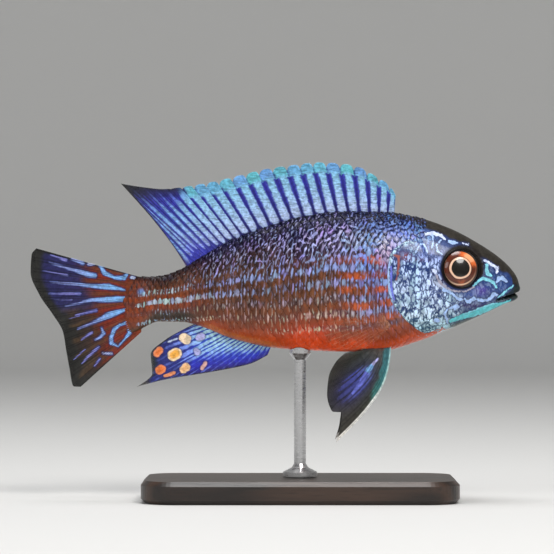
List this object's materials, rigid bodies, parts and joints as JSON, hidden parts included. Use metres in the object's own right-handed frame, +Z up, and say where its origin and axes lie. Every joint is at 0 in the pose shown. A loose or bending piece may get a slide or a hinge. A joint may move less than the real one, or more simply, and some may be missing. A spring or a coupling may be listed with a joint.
{
  "type": "peacock cichlid fish",
  "caption": "Life-size adult male peacock cichlid swimming with spread fins, held by a slim upright rod on a small flat display base.",
  "frame": {"origin": "middle of the stand's underside, on the axis of its rod", "axes": "+X towards the snout, +Y to the fish's left, +Z up"},
  "size_m": [0.1311, 0.044, 0.0897],
  "materials": {
    "head_skin": "wet gloss, pale blue marks on indigo",
    "flank_skin": "wet gloss scales, rust red with blue rows",
    "fin": "moist membrane, blue with pale rays",
    "clear_fin": "thin clear membrane with amber rays",
    "eye": "polished, dark pupil in an orange iris",
    "stand_wood": "dark stain, satin",
    "stand_steel": "brushed"
  },
  "bodies": {
    "root": {"head": "head_skin", "lower_jaw": "head_skin", "gill_cover_left": "head_skin", "gill_cover_right": "head_skin", "eye_left": "eye", "eye_right": "eye", "trunk": "flank_skin", "tail_stalk": "flank_skin", "dorsal_fin_spiny": "fin", "dorsal_fin_soft": "fin", "tail_fin": "fin", "anal_fin": "fin", "pelvic_fin_left": "fin", "pelvic_fin_right": "fin", "pectoral_fin_left": "clear_fin", "pectoral_fin_right": "clear_fin", "stand_base": "stand_wood", "stand_rod": "stand_steel"}
  },
  "joints": []
}
